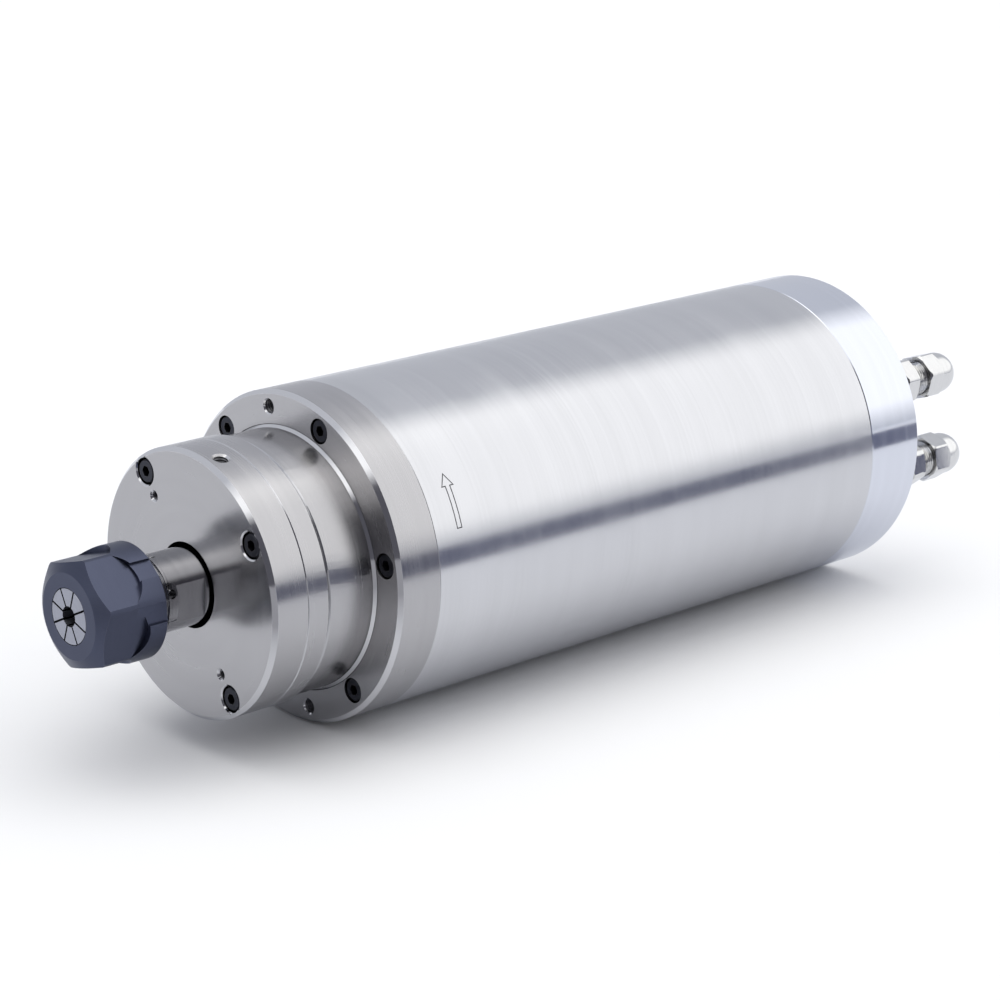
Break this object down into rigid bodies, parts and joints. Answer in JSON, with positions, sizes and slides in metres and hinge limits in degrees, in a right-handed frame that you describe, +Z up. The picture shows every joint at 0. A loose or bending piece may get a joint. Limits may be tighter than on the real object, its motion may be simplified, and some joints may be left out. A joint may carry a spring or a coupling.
{
  "type": "motor spindle",
  "caption": "Round water-cooled milling spindle: flanged steel nose with a collet nut, ground body tube, and a rear cap with hose fittings and a power socket.",
  "frame": {"origin": "centre of the flange's front face, on the spindle's axis", "axes": "+X along the axis from the nose to the rear cap, +Z up as the object lies in the picture, -Y the side seen in the picture"},
  "size_m": [0.3326, 0.1, 0.1],
  "materials": {
    "ground_steel": "ground and fine turned, satin",
    "black_screws": "black oxide, slightly oily satin",
    "bearing_steel": "hardened and ground, polished",
    "polished_tube": "centreless ground stainless, bright satin",
    "jacket_aluminium": "machined",
    "cap_aluminium": "fine turned, bright",
    "seal_rubber": "matt black",
    "lamination_steel": "stacked sheet, dull",
    "winding_copper": "varnished copper wire",
    "lead_insulation": "matt silicone sleeve",
    "nickel_plate": "nickel plated brass",
    "socket_plastic": "moulded, matt",
    "pin_brass": "bright",
    "shaft_steel": "hardened and ground",
    "blued_steel": "blued, dark satin",
    "collet_steel": "hardened spring steel, ground",
    "cage_resin": "turned cotton and resin",
    "cast_aluminium": "die cast"
  },
  "bodies": {
    "housing": {"front_cover": "ground_steel", "cover_screws": "black_screws", "clamp_ring": "ground_steel", "front_housing": "ground_steel", "flange_screws": "black_screws", "front_outer_rings": "bearing_steel", "front_outer_spacer": "ground_steel", "body_tube": "polished_tube", "water_jacket": "jacket_aluminium", "jacket_seals": "seal_rubber", "stator_core": "lamination_steel", "stator_winding": "winding_copper", "motor_leads": "lead_insulation", "rear_frame": "jacket_aluminium", "preload_spring": "bearing_steel", "rear_outer_rings": "bearing_steel", "port_seals": "seal_rubber", "rear_cap": "cap_aluminium", "rear_screws": "black_screws", "inlet_fitting": "nickel_plate", "outlet_fitting": "nickel_plate", "socket_shell": "nickel_plate", "socket_insulator": "socket_plastic", "socket_pins": "pin_brass", "socket_gasket": "seal_rubber", "socket_screws": "nickel_plate"},
    "spindle": {"shaft": "shaft_steel", "slinger": "shaft_steel", "front_lock_nut": "blued_steel", "front_inner_rings": "bearing_steel", "front_inner_spacer": "shaft_steel", "rotor_core": "lamination_steel", "rotor_cage": "cast_aluminium", "balance_rings": "shaft_steel", "rear_inner_rings": "bearing_steel", "rear_lock_nut": "blued_steel"},
    "collet": {"collet": "collet_steel"},
    "collet_nut": {"collet_nut": "blued_steel"},
    "front_ball_sets": {"front_cages": "cage_resin", "front_balls": "bearing_steel"},
    "rear_ball_sets": {"rear_cages": "cage_resin", "rear_balls": "bearing_steel"},
    "inlet_ferrule": {"inlet_ferrule": "nickel_plate"},
    "inlet_nut": {"inlet_nut": "nickel_plate"},
    "outlet_ferrule": {"outlet_ferrule": "nickel_plate"},
    "outlet_nut": {"outlet_nut": "nickel_plate"}
  },
  "joints": [
    {"name": "spindle_spin", "type": "hinge", "parent": "housing", "child": "spindle", "pos_m": [0, 0, 0], "axis": [1, 0, 0], "continuous": true},
    {"name": "front_balls_roll", "type": "hinge", "parent": "housing", "child": "front_ball_sets", "pos_m": [-0.002, 0, 0], "axis": [1, 0, 0], "continuous": true},
    {"name": "rear_balls_roll", "type": "hinge", "parent": "housing", "child": "rear_ball_sets", "pos_m": [0.201, 0, 0], "axis": [1, 0, 0], "continuous": true},
    {"name": "collet_slide", "type": "slide", "parent": "spindle", "child": "collet", "axis": [-1, 0, 0], "range_m": [0, 0.012]},
    {"name": "nut_turn", "type": "hinge", "parent": "collet", "child": "collet_nut", "pos_m": [-0.07, 0, 0], "axis": [-1, 0, 0], "range_deg": [0, 2880]},
    {"name": "inlet_ferrule_slide", "type": "slide", "parent": "housing", "child": "inlet_ferrule", "axis": [1, 0, 0], "range_m": [0, 0.005]},
    {"name": "inlet_nut_turn", "type": "hinge", "parent": "inlet_ferrule", "child": "inlet_nut", "pos_m": [0.245, -0.03725, 0.01939], "axis": [1, 0, 0], "range_deg": [0, 1800]},
    {"name": "outlet_ferrule_slide", "type": "slide", "parent": "housing", "child": "outlet_ferrule", "axis": [1, 0, 0], "range_m": [0, 0.005]},
    {"name": "outlet_nut_turn", "type": "hinge", "parent": "outlet_ferrule", "child": "outlet_nut", "pos_m": [0.245, -0.04123, -0.00801], "axis": [1, 0, 0], "range_deg": [0, 1800]}
  ],
  "couplings": [
    {"joint": "front_balls_roll", "follows": "spindle_spin", "ratio": 0.41389},
    {"joint": "rear_balls_roll", "follows": "spindle_spin", "ratio": 0.40769},
    {"joint": "collet_slide", "follows": "nut_turn", "m_per_rad": 0.00023871},
    {"joint": "inlet_ferrule_slide", "follows": "inlet_nut_turn", "m_per_rad": 0.00015914},
    {"joint": "outlet_ferrule_slide", "follows": "outlet_nut_turn", "m_per_rad": 0.00015914}
  ]
}
